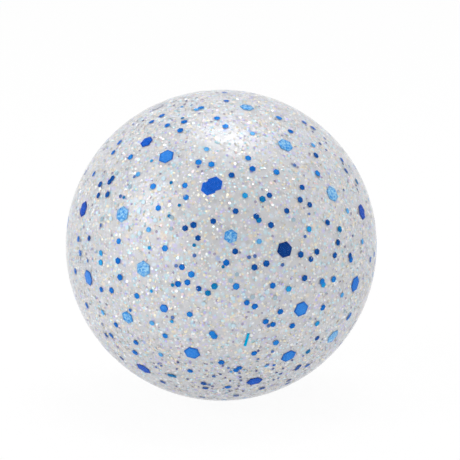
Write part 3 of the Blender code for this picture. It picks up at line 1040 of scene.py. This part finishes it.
def make_dots(tree, sockets, grain, keep_clear):
    """Small dots: placed one by one on the show side, strewn as densely on the far side."""
    half_area = 2 * math.pi * GEL_RADIUS**2
    pieces = []
    for seed, (tint, (slot, size, edge, dark, light)) in enumerate(DOT_FILMS.items(), FIRST_DOT_SEED):
        # On the dots the cloudy print is a painted reflection: lighter and darker patches across each dot.
        film = {
            "dark": dark, "light": light, "edge": [value * DOT_EDGE_SHADE for value in dark],
            "cloud_scale": DOT_PAINTED_SHEEN_SCALE, "contrast": DOT_PAINTED_SHEEN_CONTRAST, "edge_strength": edge,
        }
        flats = size * DOT_FLATS
        places = [(show_place(*spot), 1.0) for spot in DOT_PLACES.get(tint, ())]
        places += [(show_place(*spot), SPECK_SHARE) for spot in SPECK_PLACES.get(tint, ())]
        piece = scatter(f"{tint}_dots", tree, sockets, make_ground(places), {
            "Flakes per Area": len(places) / half_area,
            "Corner Radius": flats / math.sqrt(3),
            "Thickness": DOT_THICKNESS,
            "Size Spread": DOT_SIZE_SPREAD,
            "Tilt": DOT_TILT,
            "Lift Low": DOT_LIFT_LOW,
            "Lift High": DOT_LIFT_HIGH,
            "Keep Clear Of": keep_clear,
            "Clearance": flats * DOT_CLEARANCE,
            "Seed": seed,
            "Material": film_material(f"{tint}_dot_film", grain, film),
        })
        pieces.append(piece)
    return pieces


def make_pearls(tree, sockets, keep_clear):
    """Fine pearl glitter all round, in six tints."""
    area = 4 * math.pi * GEL_RADIUS**2
    ground = make_ground()
    pieces = []
    for seed, (tint, pearl) in enumerate(PEARL_TINTS.items(), FIRST_PEARL_SEED):
        piece = scatter(f"{tint}_pearl_glitter", tree, sockets, ground, {
            "Flakes per Area": pearl["count"] / area,
            "Corner Radius": PEARL_FLATS / math.sqrt(3),
            "Thickness": PEARL_THICKNESS,
            "Size Spread": PEARL_SIZE_SPREAD,
            "Tilt": math.radians(pearl["tilt"]),
            "Lift Low": PEARL_LIFT_LOW,
            "Lift High": PEARL_LIFT_HIGH,
            "Keep Clear Of": keep_clear,
            "Clearance": PEARL_FLATS * PEARL_CLEARANCE,
            "Seed": seed,
            "Material": pearl_material(f"{tint}_pearl", pearl["colour"], pearl["metallic"]),
        })
        pieces.append(piece)
    return pieces


def make_small_glitter(grain, flakes):
    """Small dots and fine pearl glitter, clear of the large flakes."""
    tree, sockets = make_scatter_tree()
    keep_clear = make_keep_clear(flakes)
    pieces = make_dots(tree, sockets, grain, keep_clear) + make_pearls(tree, sockets, keep_clear)
    bpy.data.objects.remove(keep_clear, do_unlink=True)
    return pieces


# Studio

def make_camera():
    """Long lens that shows the ball at the photograph's size and place."""
    edge = math.tan(math.asin(BALL_RADIUS / CAMERA_DISTANCE))
    focal_px = BALL_RADIUS_PX / edge
    to_metres = CAMERA_DISTANCE / focal_px
    across = (PHOTO_SIDE / 2 - BALL_MIDDLE_PX[0]) * to_metres
    above = (BALL_MIDDLE_PX[1] - PHOTO_SIDE / 2) * to_metres
    aim = CENTRE + from_show_side((across, above, 0.0))
    data = bpy.data.cameras.new("camera")
    data.sensor_width = SENSOR_MM
    data.lens = SENSOR_MM * focal_px / PHOTO_SIDE
    data.clip_start = CAMERA_NEAR
    camera = add_object("camera", data)
    camera.location = CENTRE + from_show_side((0.0, 0.0, CAMERA_DISTANCE))
    camera.rotation_euler = (aim - camera.location).to_track_quat("-Z", "Y").to_euler()
    bpy.context.scene.camera = camera


def add_softbox(name, place, width, height, radiance):
    """A soft lamp aimed at the ball, by the brightness of its face."""
    data = bpy.data.lights.new(name, "AREA")
    data.shape = "RECTANGLE"
    data.size = width
    data.size_y = height
    data.energy = radiance * math.pi * width * height
    lamp = add_object(name, data)
    lamp.location = CENTRE + place
    lamp.rotation_euler = (-place).to_track_quat("-Z", "Y").to_euler()


def make_lights():
    """A softbox overhead, a tall one on the left, where the highlights reflect them, and a broad fill."""
    for name, lamp in LAMPS.items():
        place = from_show_side(lamp["stands"]) * LAMP_DISTANCE
        add_softbox(name, place, *lamp["size"], lamp["brightness"])


def make_world():
    """White light from all round, dimmer from the room in front of the ball and to its upper left."""
    world = bpy.data.worlds.new("studio")
    world.use_nodes = True
    bpy.context.scene.world = world
    tree = world.node_tree
    room = from_show_side(ROOM_DIRECTION).normalized()
    place = add_node(tree, "ShaderNodeTexCoord")
    ahead = add_node(tree, "ShaderNodeVectorMath", {
        0: place.outputs["Generated"], 1: room,
    }, operation="DOT_PRODUCT")
    level = add_node(tree, "ShaderNodeMapRange", {
        "Value": ahead.outputs["Value"], "From Min": ROOM_SPAN[0], "From Max": ROOM_SPAN[1],
        "To Min": WORLD_BRIGHTNESS, "To Max": ROOM_BRIGHTNESS,
    }, interpolation_type="SMOOTHSTEP")
    background = tree.nodes["Background"]
    background.inputs["Color"].default_value = (1.0, 1.0, 1.0, 1.0)
    tree.links.new(level.outputs["Result"], background.inputs["Strength"])


def make_floor():
    """Plain pale floor that looks white to the camera and in gloss, and keeps the ball's shadow."""
    mesh = bmesh.new()
    bmesh.ops.create_grid(mesh, x_segments=1, y_segments=1, size=FLOOR_HALF)
    data = mesh_data("floor", mesh)
    material, tree, shader = new_material("pale_floor")
    tree.nodes.remove(shader)
    path = add_node(tree, "ShaderNodeLightPath")
    shiny = add_node(tree, "ShaderNodeMath", {
        0: path.outputs["Is Glossy Ray"], 1: path.outputs["Is Transmission Ray"],
    }, operation="MAXIMUM")
    in_gloss = add_node(tree, "ShaderNodeMath", {
        0: shiny.outputs[0], 1: FLOOR_GLOW_IN_GLOSS,
    }, operation="MULTIPLY")
    share = add_node(tree, "ShaderNodeMix", {
        "Factor": path.outputs["Is Camera Ray"], "A": in_gloss.outputs[0], "B": FLOOR_GLOW_SEEN,
    }, data_type="FLOAT")
    paint = add_node(tree, "ShaderNodeBsdfDiffuse", {
        "Color": (FLOOR_PAINT, FLOOR_PAINT, FLOOR_PAINT, 1.0),
    })
    glow = add_node(tree, "ShaderNodeEmission", {"Color": (1.0, 1.0, 1.0, 1.0), "Strength": 1.0})
    blend = add_node(tree, "ShaderNodeMixShader", {
        0: share.outputs[0], 1: paint.outputs[0], 2: glow.outputs[0],
    })
    tree.links.new(blend.outputs[0], tree.nodes["Material Output"].inputs["Surface"])
    data.materials.append(material)
    floor = add_object("floor", data)


def main():
    """Make every piece and the studio."""
    grain = make_film_grain()
    spots = make_spots()
    skin = make_skin()
    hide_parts("outer_skin")
    gel = make_gel(spots)
    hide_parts("gel_filling")
    flakes = make_large_flakes(grain)
    glitter = make_small_glitter(grain, flakes)
    for piece in [skin, gel, *flakes, *glitter]:
        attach(piece, "ball")
        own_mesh(piece)
    plug = make_plug()
    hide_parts("fill_plug")
    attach(plug, "pressed_side")
    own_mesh(plug)
    make_floor()
    make_world()
    make_lights()
    make_camera()
    bpy.context.scene.view_settings.view_transform = "Standard"


main()
